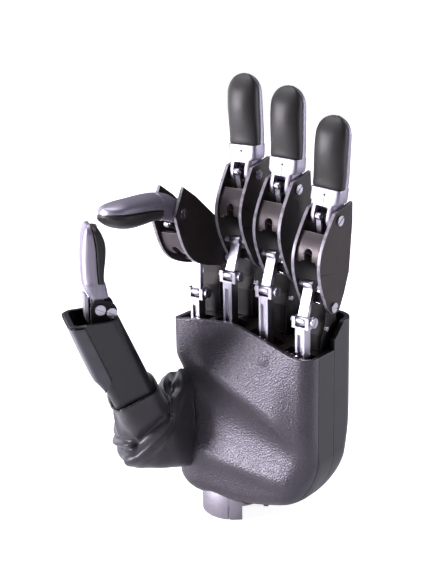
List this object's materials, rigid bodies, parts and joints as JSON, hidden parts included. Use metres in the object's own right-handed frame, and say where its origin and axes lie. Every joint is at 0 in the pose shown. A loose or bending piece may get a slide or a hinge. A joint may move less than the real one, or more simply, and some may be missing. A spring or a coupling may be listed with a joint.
{
  "type": "prosthetic hand",
  "caption": "Powered left prosthetic hand: side-plated fingers on drive rods, soft fingertip pads, booted thumb, grained palm cover and bayonet wrist coupling.",
  "frame": {"origin": "centre of the mouth of the wrist coupling's bore", "axes": "+Z from the wrist to the fingertips, -Y the palm side, -X the thumb side of a left hand"},
  "size_m": [0.1042, 0.1054, 0.2091],
  "materials": {
    "plate_black": "satin anodised",
    "chrome_screw": "polished",
    "finger_aluminium": "satin, fine vertical grain",
    "pad_rubber": "soft sheen",
    "rod_steel": "satin",
    "palm_skin": "fine grain with sheen",
    "cover_satin": "satin",
    "deck_gloss": "gloss",
    "bracket_black": "satin",
    "chassis_aluminium": "machined",
    "motor_steel": "brushed",
    "board_green": "solder mask",
    "coupling_grey": "bead blasted",
    "plug_brass": "plated",
    "boot_rubber": "soft, slightly glossy",
    "tube_black": "satin, fine grain"
  },
  "bodies": {
    "wrist_coupling": {"wrist_coupling": "coupling_grey", "wrist_bearing": "motor_steel", "wrist_plug": "plug_brass"},
    "palm": {"palm_chassis": "chassis_aluminium", "palm_cover": "palm_skin", "side_strip": "cover_satin", "back_cover": "cover_satin", "knuckle_deck": "deck_gloss", "knuckle_brackets": "bracket_black", "knuckle_axles": "chrome_screw", "finger_motors": "motor_steel", "control_board": "board_green", "deck_screws": "chrome_screw"},
    "index_proximal": {"index_radial_plate": "plate_black", "index_ulnar_plate": "plate_black", "index_bridge": "plate_black", "index_screws": "chrome_screw"},
    "index_tip": {"index_tip_shell": "finger_aluminium", "index_tip_pad": "pad_rubber"},
    "index_rod": {"index_drive_rod": "rod_steel"},
    "index_link": {"index_drive_link": "rod_steel"},
    "index_coupler": {"index_coupling_link": "rod_steel"},
    "middle_proximal": {"middle_radial_plate": "plate_black", "middle_ulnar_plate": "plate_black", "middle_bridge": "plate_black", "middle_screws": "chrome_screw"},
    "middle_tip": {"middle_tip_shell": "finger_aluminium", "middle_tip_pad": "pad_rubber"},
    "middle_rod": {"middle_drive_rod": "rod_steel"},
    "middle_link": {"middle_drive_link": "rod_steel"},
    "middle_coupler": {"middle_coupling_link": "rod_steel"},
    "ring_proximal": {"ring_radial_plate": "plate_black", "ring_ulnar_plate": "plate_black", "ring_bridge": "plate_black", "ring_screws": "chrome_screw"},
    "ring_tip": {"ring_tip_shell": "finger_aluminium", "ring_tip_pad": "pad_rubber"},
    "ring_rod": {"ring_drive_rod": "rod_steel"},
    "ring_link": {"ring_drive_link": "rod_steel"},
    "ring_coupler": {"ring_coupling_link": "rod_steel"},
    "little_proximal": {"little_radial_plate": "plate_black", "little_ulnar_plate": "plate_black", "little_bridge": "plate_black", "little_screws": "chrome_screw"},
    "little_tip": {"little_tip_shell": "finger_aluminium", "little_tip_pad": "pad_rubber"},
    "little_rod": {"little_drive_rod": "rod_steel"},
    "little_link": {"little_drive_link": "rod_steel"},
    "little_coupler": {"little_coupling_link": "rod_steel"},
    "thumb_base": {"thumb_base": "chassis_aluminium", "thumb_boot": "boot_rubber"},
    "thumb_tube": {"thumb_tube": "tube_black", "thumb_rail": "tube_black", "thumb_pin": "chrome_screw", "thumb_motor": "motor_steel", "thumb_clevis": "bracket_black", "thumb_screws": "chrome_screw"},
    "thumb_tip": {"thumb_tip_shell": "finger_aluminium", "thumb_tip_pad": "pad_rubber", "thumb_lever": "rod_steel"}
  },
  "joints": [
    {"name": "wrist_rotation", "type": "hinge", "parent": "wrist_coupling", "child": "palm", "pos_m": [0, 0, 0], "axis": [0, 0, 1], "range_deg": [-175, 175]},
    {"name": "index_flex", "type": "hinge", "parent": "palm", "child": "index_proximal", "pos_m": [-0.0133, 0.0045, 0.1163], "axis": [0.9986, 0, 0.0523], "range_deg": [-47.5, 0]},
    {"name": "index_tip_flex", "type": "hinge", "parent": "index_proximal", "child": "index_tip", "pos_m": [-0.01469, -0.0254, 0.14284], "axis": [0.9986, 0, 0.0523], "range_deg": [-35.63, 0]},
    {"name": "index_rod_slide", "type": "slide", "parent": "palm", "child": "index_rod", "axis": [0, 0, 1], "range_m": [-0.00001, 0.00996]},
    {"name": "index_link_swing", "type": "hinge", "parent": "index_rod", "child": "index_link", "pos_m": [-0.0133, -0.0088, 0.10195], "axis": [1, 0, 0], "range_deg": [-19, 0]},
    {"name": "index_coupler_turn", "type": "hinge", "parent": "index_tip", "child": "index_coupler", "pos_m": [-0.01444, -0.02744, 0.13813], "axis": [0.9986, 0, 0.0523], "range_deg": [0, 35.63]},
    {"name": "middle_flex", "type": "hinge", "parent": "palm", "child": "middle_proximal", "pos_m": [0.006, 0.004, 0.1176], "axis": [0.9998, 0, 0.0175], "range_deg": [0, 90]},
    {"name": "middle_tip_flex", "type": "hinge", "parent": "middle_proximal", "child": "middle_tip", "pos_m": [0.0053, 0.0034, 0.15759], "axis": [0.9998, 0, 0.0175], "range_deg": [0, 67.5]},
    {"name": "middle_rod_slide", "type": "slide", "parent": "palm", "child": "middle_rod", "axis": [0, 0, 1], "range_m": [-0.01886, 0.00001]},
    {"name": "middle_link_swing", "type": "hinge", "parent": "middle_rod", "child": "middle_link", "pos_m": [0.006, -0.0093, 0.1132], "axis": [1, 0, 0], "range_deg": [0, 19.8]},
    {"name": "middle_coupler_turn", "type": "hinge", "parent": "middle_tip", "child": "middle_coupler", "pos_m": [0.00528, -0.00153, 0.15905], "axis": [0.9998, 0, 0.0175], "range_deg": [-67.5, 0]},
    {"name": "ring_flex", "type": "hinge", "parent": "palm", "child": "ring_proximal", "pos_m": [0.0259, 0.0038, 0.114], "axis": [0.9996, 0, -0.0279], "range_deg": [0, 90]},
    {"name": "ring_tip_flex", "type": "hinge", "parent": "ring_proximal", "child": "ring_tip", "pos_m": [0.02702, 0.0032, 0.15398], "axis": [0.9996, 0, -0.0279], "range_deg": [0, 67.5]},
    {"name": "ring_rod_slide", "type": "slide", "parent": "palm", "child": "ring_rod", "axis": [0, 0, 1], "range_m": [-0.01886, 0.00001]},
    {"name": "ring_link_swing", "type": "hinge", "parent": "ring_rod", "child": "ring_link", "pos_m": [0.0259, -0.0095, 0.1096], "axis": [1, 0, 0], "range_deg": [0, 19.8]},
    {"name": "ring_coupler_turn", "type": "hinge", "parent": "ring_tip", "child": "ring_coupler", "pos_m": [0.02706, -0.00173, 0.15544], "axis": [0.9996, 0, -0.0279], "range_deg": [-67.5, 0]},
    {"name": "little_flex", "type": "hinge", "parent": "palm", "child": "little_proximal", "pos_m": [0.0455, 0.0035, 0.1035], "axis": [0.9971, 0, -0.0767], "range_deg": [0, 90]},
    {"name": "little_tip_flex", "type": "hinge", "parent": "little_proximal", "child": "little_tip", "pos_m": [0.04857, 0.0029, 0.14338], "axis": [0.9971, 0, -0.0767], "range_deg": [0, 67.5]},
    {"name": "little_rod_slide", "type": "slide", "parent": "palm", "child": "little_rod", "axis": [0, 0, 1], "range_m": [-0.01886, 0.00001]},
    {"name": "little_link_swing", "type": "hinge", "parent": "little_rod", "child": "little_link", "pos_m": [0.0455, -0.0098, 0.0991], "axis": [1, 0, 0], "range_deg": [0, 19.8]},
    {"name": "little_coupler_turn", "type": "hinge", "parent": "little_tip", "child": "little_coupler", "pos_m": [0.04868, -0.00203, 0.14484], "axis": [0.9971, 0, -0.0767], "range_deg": [-67.5, 0]},
    {"name": "thumb_swing", "type": "hinge", "parent": "palm", "child": "thumb_base", "pos_m": [-0.009, -0.005, 0.039], "axis": [0, 0, 1], "range_deg": [-60, 0]},
    {"name": "thumb_flex", "type": "hinge", "parent": "thumb_base", "child": "thumb_tube", "pos_m": [-0.0285, -0.029, 0.039], "axis": [-0.8243, 0.4558, 0.3359], "range_deg": [-35, 0]},
    {"name": "thumb_tip_flex", "type": "hinge", "parent": "thumb_tube", "child": "thumb_tip", "pos_m": [-0.02203, -0.06698, 0.109], "axis": [-0.788, 0.6157, 0], "range_deg": [-8.75, 0]}
  ],
  "couplings": [
    {"joint": "index_tip_flex", "follows": "index_flex", "ratio": 0.75},
    {"joint": "index_rod_slide", "follows": "index_flex", "m_per_rad": -0.012003},
    {"joint": "index_link_swing", "follows": "index_flex", "ratio": 0.4},
    {"joint": "index_coupler_turn", "follows": "index_flex", "ratio": -0.75},
    {"joint": "middle_tip_flex", "follows": "middle_flex", "ratio": 0.75},
    {"joint": "middle_rod_slide", "follows": "middle_flex", "m_per_rad": -0.012003},
    {"joint": "middle_link_swing", "follows": "middle_flex", "ratio": 0.22},
    {"joint": "middle_coupler_turn", "follows": "middle_flex", "ratio": -0.75},
    {"joint": "ring_tip_flex", "follows": "ring_flex", "ratio": 0.75},
    {"joint": "ring_rod_slide", "follows": "ring_flex", "m_per_rad": -0.012003},
    {"joint": "ring_link_swing", "follows": "ring_flex", "ratio": 0.22},
    {"joint": "ring_coupler_turn", "follows": "ring_flex", "ratio": -0.75},
    {"joint": "little_tip_flex", "follows": "little_flex", "ratio": 0.75},
    {"joint": "little_rod_slide", "follows": "little_flex", "m_per_rad": -0.012003},
    {"joint": "little_link_swing", "follows": "little_flex", "ratio": 0.22},
    {"joint": "little_coupler_turn", "follows": "little_flex", "ratio": -0.75},
    {"joint": "thumb_tip_flex", "follows": "thumb_flex", "ratio": 0.25}
  ]
}
